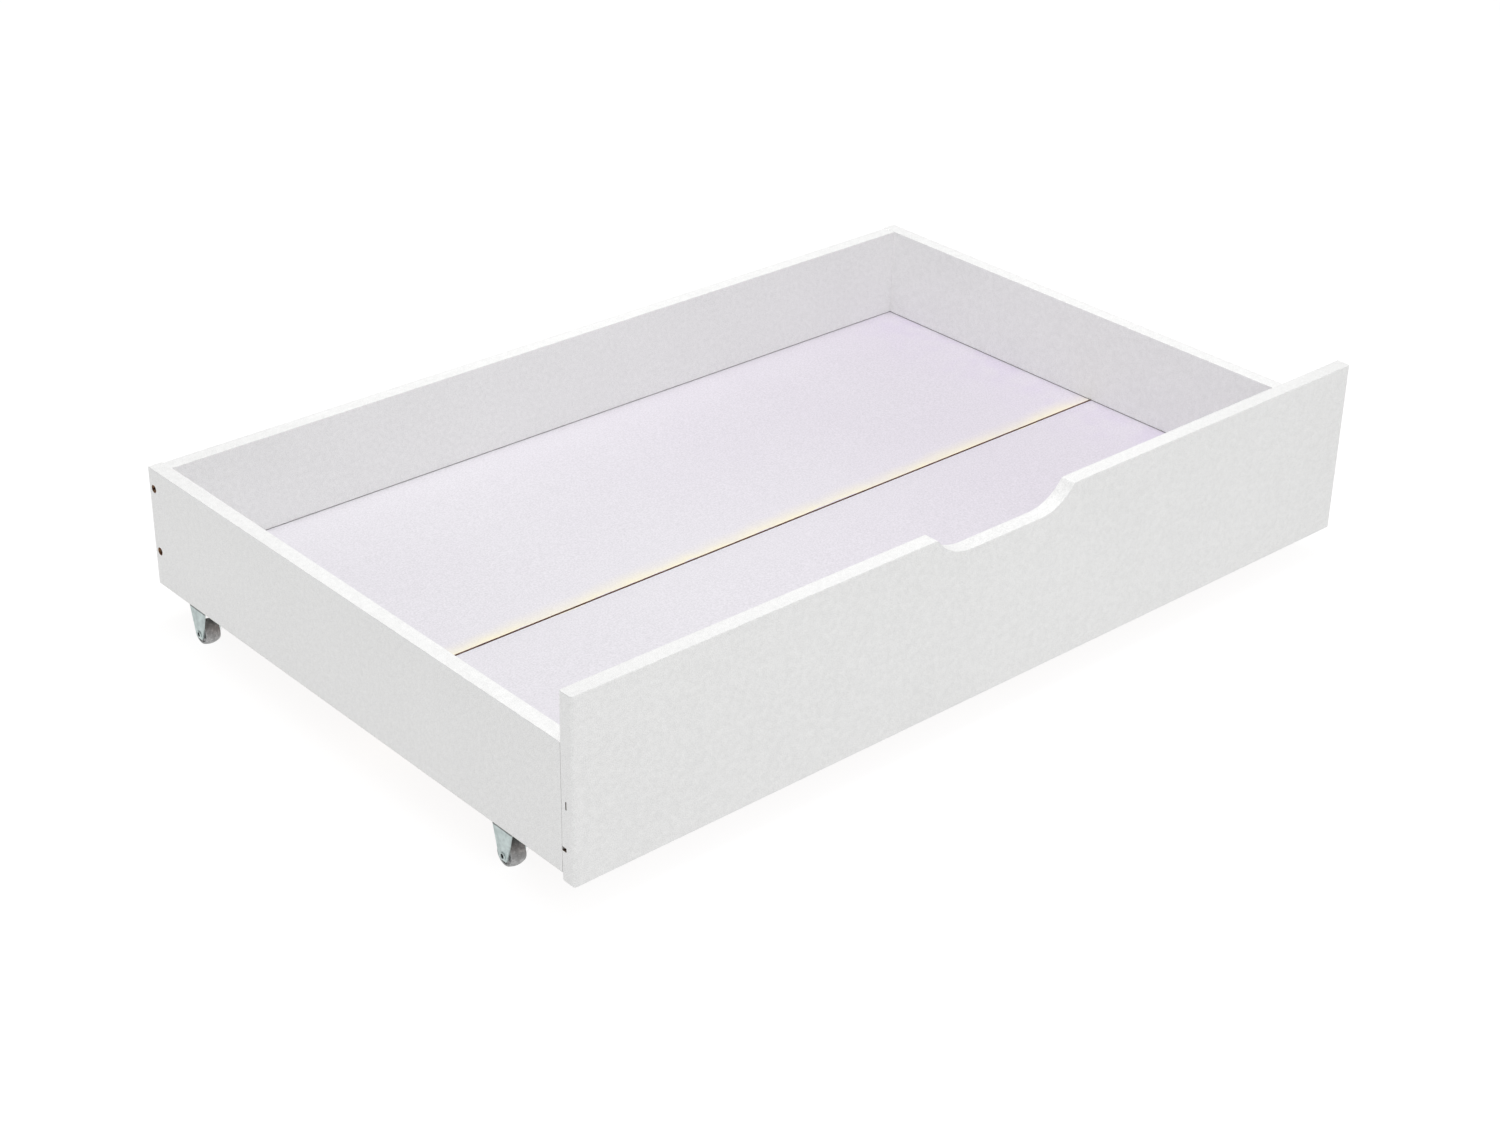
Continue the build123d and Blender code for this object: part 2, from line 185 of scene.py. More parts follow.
def turned(centre, rings, segments):
    """A closed ring-shaped piece about the X axis, drawn out ring by ring from one hoop of edges.

    Each ring is (distance along X from the centre, radius). The last one meets the first.
    """
    start, radius = rings[0]
    deselect_all()
    bpy.ops.mesh.primitive_circle_add(
        vertices=segments,
        radius=radius,
        location=centre + Vector((start, 0, 0)),
        rotation=(0, math.pi / 2, 0),
    )
    piece = bpy.context.active_object
    bpy.ops.object.transform_apply(location=True, rotation=True, scale=True)
    bpy.ops.object.mode_set(mode="EDIT")
    bpy.ops.mesh.select_all(action="SELECT")
    for place, reach in [*rings[1:], rings[0]]:
        bpy.ops.mesh.extrude_edges_move(TRANSFORM_OT_translate={"value": (place - start, 0, 0)})
        factor = reach / radius
        bpy.ops.transform.resize(value=(1, factor, factor), center_override=centre)
        start, radius = place, reach
    bpy.ops.mesh.select_all(action="SELECT")
    bpy.ops.mesh.remove_doubles(threshold=1e-6)
    bpy.ops.mesh.normals_make_consistent(inside=False)
    bpy.ops.object.mode_set(mode="OBJECT")
    return piece


# ---- material helpers --------------------------------------------------------------------


class Finish:
    """A node material under construction. Patterns read the piece's own Object coordinates."""

    def __init__(self, name):
        self.material = bpy.data.materials.new(name)
        self.material.use_nodes = True
        self.tree = self.material.node_tree
        self.shader = self.tree.nodes["Principled BSDF"]
        self.place = self.tree.nodes.new("ShaderNodeTexCoord").outputs["Object"]
        self.axes = self.add("ShaderNodeSeparateXYZ", {"Vector": self.place}).outputs

    def add(self, kind, inputs=None, **settings):
        """A new node with these settings, and its inputs fed."""
        node = self.tree.nodes.new(kind)
        for name, value in settings.items():
            setattr(node, name, value)
        for key, value in (inputs or {}).items():
            self.feed(node.inputs[key], value)
        return node

    def feed(self, socket, value):
        """Links another node's output to a socket, or sets its value."""
        if isinstance(value, bpy.types.NodeSocket):
            self.tree.links.new(value, socket)
        else:
            socket.default_value = value

    def set(self, **inputs):
        """Feeds the shader's sockets; an underscore stands for a space."""
        for key, value in inputs.items():
            self.feed(self.shader.inputs[key.replace("_", " ")], value)

    def math(self, operation, *values):
        """The result of a Math node."""
        node = self.add("ShaderNodeMath", operation=operation)
        for socket, value in zip(node.inputs, values):
            self.feed(socket, value)
        return node.outputs[0]

    def total(self, *values):
        """Sum of several masks, held between 0 and 1."""
        result = values[0]
        for value in values[1:]:
            result = self.math("ADD", result, value)
        return self.add("ShaderNodeClamp", {"Value": result}).outputs[0]

    def stretch(self, factors):
        """The Object coordinates multiplied axis by axis."""
        mapping = self.add("ShaderNodeMapping", {"Vector": self.place, "Scale": factors})
        return mapping.outputs[0]

    def noise(self, scale, detail=3.0, roughness=0.55, at=None, distortion=0.0):
        """Cloudy noise. Most of it lies between 0.3 and 0.7."""
        node = self.add(
            "ShaderNodeTexNoise",
            {
                "Vector": at or self.place,
                "Scale": scale,
                "Detail": detail,
                "Roughness": roughness,
                "Distortion": distortion,
            },
        )
        return node.outputs["Fac"]

    def spread(self, noise, to_low, to_high):
        """Noise spread over another range."""
        return self.remap(noise, 0.3, 0.7, to_low, to_high)

    def cells(self, scale):
        """Small cells, each with one random value."""
        node = self.add("ShaderNodeTexVoronoi", {"Vector": self.place, "Scale": scale})
        return self.add("ShaderNodeSeparateColor", {"Color": node.outputs["Color"]}).outputs[0]

    def remap(self, value, low, high, to_low, to_high, smooth=False):
        """Carries a value from one range to another, and holds it at that range's ends."""
        ranges = {"From Min": low, "From Max": high, "To Min": to_low, "To Max": to_high}
        node = self.add(
            "ShaderNodeMapRange",
            {"Value": value, **ranges},
            interpolation_type="SMOOTHSTEP" if smooth else "LINEAR",
        )
        return node.outputs["Result"]

    def ramp(self, value, *stops):
        """A colour ramp. Each stop is (position, colour)."""
        node = self.add("ShaderNodeValToRGB", {"Fac": value})
        elements = node.color_ramp.elements
        while len(elements) < len(stops):
            elements.new(0.5)
        for element, (position, colour) in zip(elements, stops):
            element.position = position
            element.color = (*colour, 1.0)
        return node.outputs["Color"]

    def blend(self, share, first, second):
        """The first colour at a share of 0, and the second at 1."""
        node = self.add("ShaderNodeMix", data_type="RGBA")
        for key, value in ((0, share), (6, first), (7, second)):
            if isinstance(value, tuple):
                value = (*value, 1.0)
            self.feed(node.inputs[key], value)
        return node.outputs[2]

    def scale(self, colour, factor):
        """A colour made lighter or darker."""
        node = self.add("ShaderNodeVectorMath", {0: colour, "Scale": factor}, operation="SCALE")
        return node.outputs[0]

    def between(self, value, low, high, soft):
        """1 where the value lies between low and high, fading over a soft margin."""
        rise = self.remap(value, low - soft, low + soft, 0.0, 1.0)
        fall = self.remap(value, high - soft, high + soft, 1.0, 0.0)
        return self.math("MULTIPLY", rise, fall)

    def near_axis(self, first, second, centre, radius, soft):
        """1 inside a round spot about a point in the plane of two axes."""
        across = self.math("SUBTRACT", first, centre[0])
        along = self.math("SUBTRACT", second, centre[1])
        squares = (self.math("MULTIPLY", across, across), self.math("MULTIPLY", along, along))
        distance = self.math("SQRT", self.math("ADD", *squares))
        return self.remap(distance, radius - soft, radius + soft, 1.0, 0.0)

    def bump(self, height, distance, strength):
        """Raises the surface by a pattern."""
        node = self.add(
            "ShaderNodeBump", {"Height": height, "Distance": distance, "Strength": strength}
        )
        self.set(Normal=node.outputs[0])


def paint(node, finish):
    """Gives a CAD node its finish."""
    data = bpy.data.objects[node].data
    data.materials.clear()
    data.materials.append(finish.material)


# ---- finishes ----------------------------------------------------------------------------


def chipboard(finish):
    """Colour and height of raw pressed wood flakes, as on a cut edge, kept darker than bare chipboard,
    partly as painted shade for the cuts.
    """
    flakes = finish.cells(420.0)
    # Partly painted shade: these colours are darker than bare chipboard, so that the cuts read dark.
    colour = finish.ramp(
        flakes,
        (0.0, (0.09, 0.035, 0.018)),
        (0.45, (0.22, 0.10, 0.05)),
        (0.8, (0.38, 0.21, 0.11)),
        (1.0, (0.50, 0.33, 0.19)),
    )
    return colour, flakes


def board_finish(board, band_shade_tone, cuts):
    """White coated board: a satin coat with a fine pearl grain, and raw flakes where it is cut.

    The top edge is closed with a glued band, a little greyer than the coat, and that tone is
    partly painted shade that dims the brightly lit top edges. A thin painted shade line darkens the coat
    along the lower edge.
    """
    look = bpy.context.scene.under_bed_box.boards
    finish = Finish(f"{board}_coat")
    low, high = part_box(board)
    level = finish.axes["Z"]
    grain = finish.noise(1000.0, detail=4.0, roughness=0.72)
    mottle = finish.noise(210.0, detail=2.0)
    cloud = finish.noise(7.0, detail=2.0)
    patches = finish.math(
        "ADD",
        finish.spread(mottle, -look.grain / 5, look.grain / 5),
        finish.spread(cloud, -0.012, 0.012),
    )
    shade = finish.math("ADD", finish.spread(grain, 1.0 - look.grain, 1.0 + look.grain), patches)
    # Painted shade, partly: the band's tone dims the top edges, which the overhead light makes brightest;
    # the front's band is dimmed most.
    band = finish.remap(level, high.z - 0.4 * MM, high.z - 0.1 * MM, 0.0, 1.0)
    if board == "front_panel":
        band = finish.total(band, grip_band(finish, low, high))
    band = finish.remap(band, 0.0, 1.0, 1.0, band_shade_tone)
    # Painted shade: a thin darker line along the board's lower edge.
    lower_edge_shade = finish.remap(level, low.z + 0.4 * MM, low.z + 1.1 * MM, 0.84, 1.0)
    shade = finish.math("MULTIPLY", shade, finish.math("MULTIPLY", band, lower_edge_shade))
    coat = finish.scale(tuple(look.coat), shade)
    coat_roughness = finish.spread(mottle, look.roughness - 0.05, look.roughness + 0.06)
    coat_height = finish.math("ADD", grain, finish.math("MULTIPLY", mottle, 2.0))

    raw, cut_shade = cuts(finish)
    flakes, flake_height = chipboard(finish)
    # Painted shade: raw flakes deep in the grooves and the slit turn near-black.
    flakes = finish.blend(finish.math("MULTIPLY", cut_shade, 0.75), flakes, (0.02, 0.012, 0.008))
    coated = finish.math("SUBTRACT", 1.0, raw)
    height = finish.math(
        "ADD",
        finish.math("MULTIPLY", coat_height, coated),
        finish.math("MULTIPLY", finish.math("MULTIPLY", flake_height, raw), 4.0),
    )
    finish.set(
        Base_Color=finish.blend(raw, coat, flakes),
        Roughness=finish.remap(raw, 0.0, 1.0, coat_roughness, 0.92),
        IOR=1.48,
    )
    finish.bump(height, 0.07 * MM, 0.6)
    return finish


def grip_band(finish, low, high):
    """The finger grip's cut edge: between the front's two broad faces, down to its lowest point."""
    half = GRIP_WIDTH / 2
    across = finish.between(finish.axes["X"], -half, half, EDGE)
    within = finish.between(finish.axes["Y"], low.y + 0.4 * MM, high.y - 0.4 * MM, 0.2 * MM)
    lowest = high.z - GRIP_DEPTH
    above = finish.remap(finish.axes["Z"], lowest - 0.6 * MM, lowest - 0.3 * MM, 0.0, 1.0)
    return finish.math("MULTIPLY", finish.math("MULTIPLY", across, within), above)


def groove_mask(finish, axis, start, inward):
    """Inside the groove that holds the bottom: past the board's inner face, at the sheets' level."""
    low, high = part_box("bottom_sheet_front")
    level = finish.between(
        finish.axes["Z"], low.z - GROOVE_BELOW_SHEET, high.z + GROOVE_ABOVE_SHEET, EDGE
    )
    depth = finish.math("MULTIPLY", finish.math("SUBTRACT", finish.axes[axis], start), inward)
    mouth = 0.2 * MM
    return finish.math("MULTIPLY", level, finish.between(depth, mouth, GROOVE_DEPTH + mouth, EDGE))


def under_mask(finish, level):
    """The board's lower edge, which has no coat."""
    return finish.remap(finish.axes["Z"], level + 0.1 * MM, level + 0.4 * MM, 1.0, 0.0)


def screw_levels():
    """Heights of the two rows of wood screws."""
    low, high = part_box("back_screws")
    return (low.z + SCREW_HEAD_RADIUS, high.z - SCREW_HEAD_RADIUS)


def side_cuts(side, sign):
    """Where a side is raw, and how much of that lies in the groove and gets painted shade."""
    low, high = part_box(side)
    inner = high.x if sign < 0 else low.x
    holes = [(middle("back_panel").y, level) for level in screw_levels()]

    def cuts(finish):
        ragged = finish.spread(finish.noise(900.0), -0.3 * MM, 0.3 * MM)
        y = finish.math("ADD", finish.axes["Y"], ragged)
        z = finish.math("ADD", finish.axes["Z"], ragged)
        rims = [finish.near_axis(y, z, hole, SCREW_HOLE_RADIUS, 0.15 * MM) for hole in holes]
        outward = finish.math("MULTIPLY", finish.axes["X"], sign)
        outside = finish.remap(outward, abs(inner) + 3 * MM, abs(inner) + 4 * MM, 0.0, 1.0)
        rims = finish.math("MULTIPLY", finish.total(*rims), outside)
        groove = groove_mask(finish, "X", inner, sign)
        return finish.total(rims, groove, under_mask(finish, low.z)), groove

    return cuts


def front_cuts(finish):
    """Where the front is raw: the groove and the slit, both of which also get painted shade."""
    low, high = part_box("front_panel")
    slit_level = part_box("left_side")[0].z + SLIT_LEVEL
    slit = finish.math(
        "MULTIPLY",
        finish.between(finish.axes["Z"], slit_level - SLIT_REACH, slit_level + SLIT_REACH, EDGE),
        finish.between(finish.axes["Y"], low.y + SLIT_NEAR, low.y + SLIT_FAR, EDGE),
    )
    from_middle = finish.math("ABSOLUTE", finish.axes["X"])
    under_face = finish.remap(from_middle, high.x - 0.3 * MM, high.x - 0.1 * MM, 1.0, 0.0)
    near_end = finish.remap(from_middle, high.x - 2.5 * MM, high.x - 1.5 * MM, 0.0, 1.0)
    slit = finish.math("MULTIPLY", slit, finish.math("MULTIPLY", under_face, near_end))
    cut_shade = finish.total(groove_mask(finish, "Y", high.y, -1.0), slit)
    return cut_shade, cut_shade


def back_cuts(finish):
    """Where the back is raw, and how much of that lies in the groove and gets painted shade."""
    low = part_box("back_panel")[0]
    groove = groove_mask(finish, "Y", low.y, 1.0)
    return finish.total(groove, under_mask(finish, low.z)), groove


def sheet_coat_finish():
    """The bottom's coated upper face: lavender cast, warm along the joint, with a painted shade line at
    the grooves.
    """
    look = bpy.context.scene.under_bed_box.bottom
    finish = Finish("bottom_sheet_coat")
    low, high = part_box("bottom_sheet_rear")
    cloud = finish.noise(5.0, detail=3.0)
    across = finish.remap(finish.axes["X"], -0.3, high.x, 0.0, 1.0, smooth=True)
    cast = finish.total(across, finish.spread(cloud, -0.15, 0.15))
    colour = finish.blend(cast, tuple(look.coat), tuple(look.coat_right))

    blotch = finish.remap(finish.noise(38.0, detail=3.0), 0.4, 0.65, 0.15, 1.0)
    stain_width = 0.13
    by_side = finish.remap(finish.axes["X"], high.x - stain_width, high.x, 0.0, 0.8, smooth=True)
    colour = finish.blend(finish.math("MULTIPLY", blotch, by_side), colour, tuple(look.stain))

    grain = finish.noise(600.0, detail=2.0, roughness=0.7)
    colour = finish.scale(colour, finish.spread(grain, 0.89, 1.11))
    colour = finish.blend(joint_glow(finish, low.y, look.warm_width), colour, tuple(look.warm))
    # Painted shade: a thin dark line on the bottom where it enters the grooves.
    crevice_shade = finish.math("MULTIPLY", groove_mouth_shade(finish), look.crevice_shade)
    finish.set(
        Base_Color=finish.blend(crevice_shade, colour, (0.10, 0.09, 0.11)),
        Roughness=finish.spread(cloud, 0.40, 0.5),
        IOR=1.48,
    )
    finish.bump(grain, 0.04 * MM, 0.5)
    return finish


def joint_glow(finish, joint, width):
    """Patchy strip behind the joint of the two sheets, fading out over its width."""
    past_joint = finish.math("SUBTRACT", finish.axes["Y"], joint)
    frayed = finish.spread(finish.noise(22.0, detail=2.0), -3 * MM, 3 * MM)
    past_joint = finish.math("ADD", past_joint, frayed)
    fade = finish.math("POWER", finish.remap(past_joint, 0.0, width, 1.0, 0.0), 1.6)
    behind = finish.remap(past_joint, -0.5 * MM, 0.0, 0.0, 1.0)
    patchy = finish.spread(finish.noise(16.0, detail=3.0), 0.45, 1.0)
    strip = finish.math("MULTIPLY", finish.math("MULTIPLY", fade, behind), patchy)
    return finish.math("MULTIPLY", strip, 0.85)


def groove_mouth_shade(finish):
    """The narrow strip of the bottom along the sides and the back, where a painted shade line darkens the
    coat.
    """
    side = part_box("right_side")[0].x
    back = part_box("back_panel")[0].y
    from_middle = finish.math("ABSOLUTE", finish.axes["X"])
    beside = finish.remap(from_middle, side - 1.1 * MM, side - 0.3 * MM, 0.0, 1.0)
    behind = finish.remap(finish.axes["Y"], back - 0.9 * MM, back - 0.3 * MM, 0.0, 0.8)
    return finish.total(beside, behind)


def hardboard_finish():
    """Brown hardboard: bare edges, and the underside with the mesh print of the press."""
    finish = Finish("hardboard")
    fibres = finish.noise(500.0, detail=4.0, at=finish.stretch((1.0, 3.0, 1.0)))
    patches = finish.noise(14.0, detail=3.0)
    tone = finish.math("ADD", finish.math("MULTIPLY", fibres, 0.7), finish.math("MULTIPLY", patches, 0.3))
    colour = finish.ramp(
        tone,
        (0.3, (0.085, 0.035, 0.022)),
        (0.5, (0.15, 0.066, 0.04)),
        (0.72, (0.24, 0.125, 0.075)),
    )
    pitch = 2.2 * MM
    waves = 2 * math.pi / pitch
    rows = finish.math("SINE", finish.math("MULTIPLY", finish.axes["X"], waves))
    columns = finish.math("SINE", finish.math("MULTIPLY", finish.axes["Y"], waves))
    mesh_print = finish.math("MULTIPLY", rows, columns)
    height = finish.math("ADD", finish.math("MULTIPLY", mesh_print, 0.5), fibres)
    finish.set(Base_Color=colour, Roughness=0.88)
    finish.bump(height, 0.12 * MM, 0.8)
    return finish


def softwood_finish(name, wood, stretch):
    """Bare wood with long grain along one axis."""
    light, dark = wood
    finish = Finish(name)
    along = finish.stretch(stretch)
    rings = finish.add(
        "ShaderNodeTexWave",
        {"Vector": along, "Scale": 55.0, "Distortion": 7.0, "Detail": 3.0, "Detail Scale": 1.2},
        wave_type="BANDS",
        bands_direction="Y",
    ).outputs["Fac"]
    fibres = finish.noise(600.0, detail=3.0, at=along)
    tone = finish.math("ADD", finish.math("MULTIPLY", rings, 0.65), finish.math("MULTIPLY", fibres, 0.35))
    finish.set(
        Base_Color=finish.ramp(tone, (0.15, light), (0.85, dark)),
        Roughness=finish.spread(fibres, 0.6, 0.75),
    )
    finish.bump(fibres, 0.1 * MM, 0.5)
    return finish


def zinc_finish(name, roughness, shade_line_level=None):
    """Bright zinc plating: blue-green cast, soft spangle and fine drawing marks.

    Above the shade line level, where the fork is bent under the board, a painted shade line darkens the
    plating.
    """
    look = bpy.context.scene.under_bed_box.casters
    finish = Finish(name)
    spangle = finish.cells(700.0)
    stain = finish.noise(160.0, detail=3.0)
    marks = finish.noise(2500.0, detail=2.0, at=finish.stretch((1.0, 1.0, 0.15)))
    dull = finish.remap(stain, 0.35, 0.65, 0.0, 1.0)
    colour = finish.blend(dull, tuple(look.zinc), tuple(look.zinc_stain))
    # Painted shade: the plating darkens to near-black at the top of the fork, under the board's edge.
    if shade_line_level:
        ragged = finish.spread(stain, -0.3 * MM, 0.3 * MM)
        height = finish.math("ADD", finish.axes["Z"], ragged)
        shade_line = finish.remap(height, shade_line_level, shade_line_level + 0.9 * MM, 0.0, 0.85)
        colour = finish.blend(shade_line, colour, (0.05, 0.052, 0.05))
    finish.set(
        Base_Color=colour,
        Metallic=0.55,
        Roughness=finish.math(
            "ADD",
            finish.remap(spangle, 0.0, 1.0, roughness - 0.06, roughness + 0.06),
            finish.spread(marks, -0.04, 0.04),
        ),
    )
    finish.bump(finish.math("ADD", marks, finish.math("MULTIPLY", spangle, 0.5)), 0.02 * MM, 0.6)
    return finish


def wheel_finish():
    """Mid-grey moulded nylon, scuffed and specked."""
    look = bpy.context.scene.under_bed_box.casters
    finish = Finish("wheel_nylon")
    speck = finish.noise(900.0, detail=3.0, roughness=0.7)
    scuff = finish.noise(260.0, detail=4.0, distortion=0.6)
    scuffed = finish.remap(scuff, 0.42, 0.66, 0.0, 1.0)
    colour = finish.blend(scuffed, tuple(look.wheel), tuple(look.wheel_scuff))
    specked = finish.remap(speck, 0.35, 0.6, 0.5, 0.0)
    finish.set(
        Base_Color=finish.blend(specked, colour, (0.12, 0.115, 0.115)),
        Roughness=finish.spread(scuff, 0.42, 0.62),
        IOR=1.5,
    )
    finish.bump(finish.math("ADD", speck, scuff), 0.06 * MM, 0.6)
    return finish


def black_screw_finish():
    """Blackened steel, worn to grey in places."""
    finish = Finish("black_screw_steel")
    wear = finish.noise(900.0, detail=3.0)
    finish.set(
        Base_Color=finish.ramp(wear, (0.35, (0.012, 0.012, 0.013)), (0.75, (0.05, 0.048, 0.045))),
        Metallic=0.6,
        Roughness=finish.spread(wear, 0.4, 0.6),
    )
    finish.bump(wear, 0.04 * MM, 0.4)
    return finish


def painted_bore_shade_finish():
    """Painted shade inside a rivet's bore: near-black, a little mottled."""
    finish = Finish("painted_bore_shade")
    crevice_shade = finish.noise(2200.0, detail=2.0)
    finish.set(
        Base_Color=finish.ramp(crevice_shade, (0.3, (0.006, 0.006, 0.006)), (0.8, (0.03, 0.027, 0.022))),
        Roughness=0.6,
    )
    return finish


# ---- settings ----------------------------------------------------------------------------


def colour_setting(name, description, default):
    """A colour that shows in the panel."""
    return FloatVectorProperty(
        name=name, description=description, default=default, subtype="COLOR", size=3, min=0, max=1
    )


class BoardSettings(PropertyGroup):
    coat: colour_setting("Coat", "Colour of the coated boards", (0.855, 0.855, 0.85))
    grain: FloatProperty(
        name="Grain", description="How much the coat's fine grain changes its tone",
        default=0.19, min=0.0, max=0.3, subtype="FACTOR",
    )
    # The band tones are partly painted shade that dims the brightly lit top edges.
    front_band_shade: FloatProperty(
        name="Front band", description="Tone of the band on the front's top edge against the coat",
        default=0.885, min=0.5, max=1.0, subtype="FACTOR",
    )
    box_band_shade: FloatProperty(
        name="Box band", description="Tone of the bands on the other top edges against the coat",
        default=0.965, min=0.5, max=1.0, subtype="FACTOR",
    )
    roughness: FloatProperty(
        name="Roughness", description="How matt the coat is",
        default=0.46, min=0.1, max=1.0, subtype="FACTOR",
    )


class BottomSettings(PropertyGroup):
    coat: colour_setting(
        "Coat, left", "Colour of the bottom's upper face at the left", (0.69, 0.672, 0.71)
    )
    coat_right: colour_setting(
        "Coat, right", "Colour of the bottom's upper face at the right", (0.64, 0.605, 0.665)
    )
    stain: colour_setting(
        "Stain", "Dull lavender patches beside the right side", (0.60, 0.545, 0.655)
    )
    warm: colour_setting("Joint glow", "Warm tone of the thin coat along the joint", (0.88, 0.81, 0.53))
    warm_width: FloatProperty(
        name="Glow width", description="How far the warm tone reaches from the joint",
        default=0.024, min=0.0, max=0.1, unit="LENGTH",
    )
    # How dark the painted shade line is where the bottom enters its grooves.
    crevice_shade: FloatProperty(
        name="Groove shade", description="How dark the dust is where the bottom enters its grooves",
        default=0.55, min=0.0, max=1.0, subtype="FACTOR",
    )
    sag: FloatProperty(
        name="Sag", description="How far each sheet hangs down in the middle",
        default=0.0009, min=0.0, max=0.01, unit="LENGTH",
    )


class CasterSettings(PropertyGroup):
    zinc: colour_setting("Zinc", "Plating of forks, rivets and screws", (0.60, 0.685, 0.675))
    zinc_stain: colour_setting("Zinc, dull", "Dull patches of the plating", (0.44, 0.51, 0.505))
    wheel: colour_setting("Wheel", "Moulded wheel", (0.33, 0.338, 0.34))
    wheel_scuff: colour_setting("Wheel, scuffed", "Scuffed patches of the wheel", (0.55, 0.555, 0.555))
    segments: IntProperty(
        name="Segments", description="Segments round a wheel", default=96, min=24, max=192
    )


class StudioSettings(PropertyGroup):
    floor: colour_setting("Floor", "Colour of the studio floor", (0.2, 0.2, 0.2))
    floor_glow: FloatProperty(
        name="Floor glow", description="Even light of the floor itself, which keeps its shadows pale",
        default=0.9, min=0.0, max=2.0,
    )
    surround: FloatProperty(
        name="Surround", description="Even light from all round", default=0.48, min=0.0, max=2.0,
    )
    top_power: FloatProperty(
        name="Top softbox", description="Power of the softbox overhead", default=22.5, min=0.0,
    )
    fill_power: FloatProperty(
        name="Fill softbox", description="Power of the softbox at the front left", default=18.0, min=0.0,
    )
    azimuth: FloatProperty(
        name="Azimuth", description="Direction that the camera looks from, 0 at the front",
        default=math.radians(-41.932), subtype="ANGLE",
    )
    elevation: FloatProperty(
        name="Elevation", description="Camera's height above the horizon",
        default=math.radians(28.611), subtype="ANGLE",
    )
    roll: FloatProperty(
        name="Roll", description="Camera's turn about its own line of sight",
        default=math.radians(1.002), subtype="ANGLE",
    )
    lens: FloatProperty(
        name="Lens", description="Focal length on a 36 mm wide sensor", default=64.168, unit="CAMERA",
    )
    place: FloatVectorProperty(
        name="Camera", description="Where the camera stands",
        default=(-1.6034, -1.7680, 1.3296), size=3, subtype="TRANSLATION",
    )


class UnderBedBoxSettings(PropertyGroup):
    boards: PointerProperty(type=BoardSettings)
    bottom: PointerProperty(type=BottomSettings)
    casters: PointerProperty(type=CasterSettings)
    studio: PointerProperty(type=StudioSettings)


# ---- operators ---------------------------------------------------------------------------


class UNDERBED_OT_boards(Operator):
    """Coat the front, the sides and the back"""

    bl_idname = "under_bed.boards"
    bl_label = "Coated boards"

    def execute(self, context):
        look = context.scene.under_bed_box.boards
        paint("front_panel", board_finish("front_panel", look.front_band_shade, front_cuts))
        paint("back_panel", board_finish("back_panel", look.box_band_shade, back_cuts))
        for side, sign in (("left_side", -1.0), ("right_side", 1.0)):
            paint(side, board_finish(side, look.box_band_shade, side_cuts(side, sign)))
        return {"FINISHED"}


class UNDERBED_OT_bottom(Operator):
    """Model the two bottom sheets, bare at the edges and underneath"""

    bl_idname = "under_bed.bottom"
    bl_label = "Bottom sheets"

    def execute(self, context):
        coat = sheet_coat_finish().material
        bare = hardboard_finish().material
        for row in ("front", "rear"):
            self.sheet(context, row, coat, bare)
        return {"FINISHED"}

    def sheet(self, context, row, coat, bare):
        """One sheet, sagging a little in the middle, coated above and bare elsewhere."""
        node = f"bottom_sheet_{row}"
        centre, size = middle(node), span(node)
        top = centre.z + size.z / 2
        sag = context.scene.under_bed_box.bottom.sag
        deselect_all()
        bpy.ops.mesh.primitive_grid_add(
            x_subdivisions=60, y_subdivisions=20, size=1.0, location=(centre.x, centre.y, top)
        )
        sheet = context.active_object
        sheet.scale = (size.x, size.y, 1.0)
        bpy.ops.object.transform_apply(location=True, rotation=True, scale=True)
        bpy.ops.object.mode_set(mode="EDIT")

        def mid_row(vertex):
            return abs(vertex.co.y - centre.y) < size.y / 30 and abs(vertex.co.x) < size.x / 3

        pick("VERT", mid_row)
        bpy.ops.transform.translate(
            value=(0, 0, -sag),
            use_proportional_edit=True,
            proportional_edit_falloff="SMOOTH",
            proportional_size=size.y * 0.42,
        )
        bpy.ops.object.mode_set(mode="OBJECT")
        apply_modifier(sheet, "SOLIDIFY", thickness=size.z, offset=-1.0)
        square = math.radians(60)
        apply_modifier(
            sheet, "BEVEL", width=0.4 * MM, segments=2, limit_method="ANGLE", angle_limit=square
        )
        sheet = settle(sheet, f"bottom_board_{row}")
        sheet.data.materials.append(coat)
        sheet.data.materials.append(bare)
        for face in sheet.data.polygons:
            coated = face.normal.z > 0.95
            face.material_index = 0 if coated else 1
        hand_over(sheet, "box", "bottom_sheet", node)


class UNDERBED_OT_woodwork(Operator):
    """Finish the rail, the dowels, the cam fittings and the wood screws"""

    bl_idname = "under_bed.woodwork"
    bl_label = "Rail and joinery"

    def execute(self, context):
        paint("centre_rail", softwood_finish("rail_pine", PINE, ALONG_X))
        paint("rail_dowels", softwood_finish("rail_dowel_beech", BEECH, ALONG_X))
        paint("front_dowels", softwood_finish("front_dowel_beech", BEECH, ALONG_Y))
        paint("cam_bolts", zinc_finish("cam_bolt_zinc", 0.34))
        paint("cam_locks", zinc_finish("cam_die_cast", 0.52))
        paint("back_screws", black_screw_finish())
        return {"FINISHED"}


class UNDERBED_OT_forks(Operator):
    """Plate the caster forks and their screws"""

    bl_idname = "under_bed.forks"
    bl_label = "Caster forks"

    def execute(self, context):
        fork_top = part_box("caster_fork_front_left")[1].z
        # Painted shade over the top 3.3 mm of each fork, under the board.
        fork = zinc_finish("fork_zinc", 0.4, shade_line_level=fork_top - 3.3 * MM)
        for corner in CORNERS:
            paint(f"caster_fork_{corner}", fork)
        paint("caster_screws", zinc_finish("screw_zinc", 0.32))
        return {"FINISHED"}


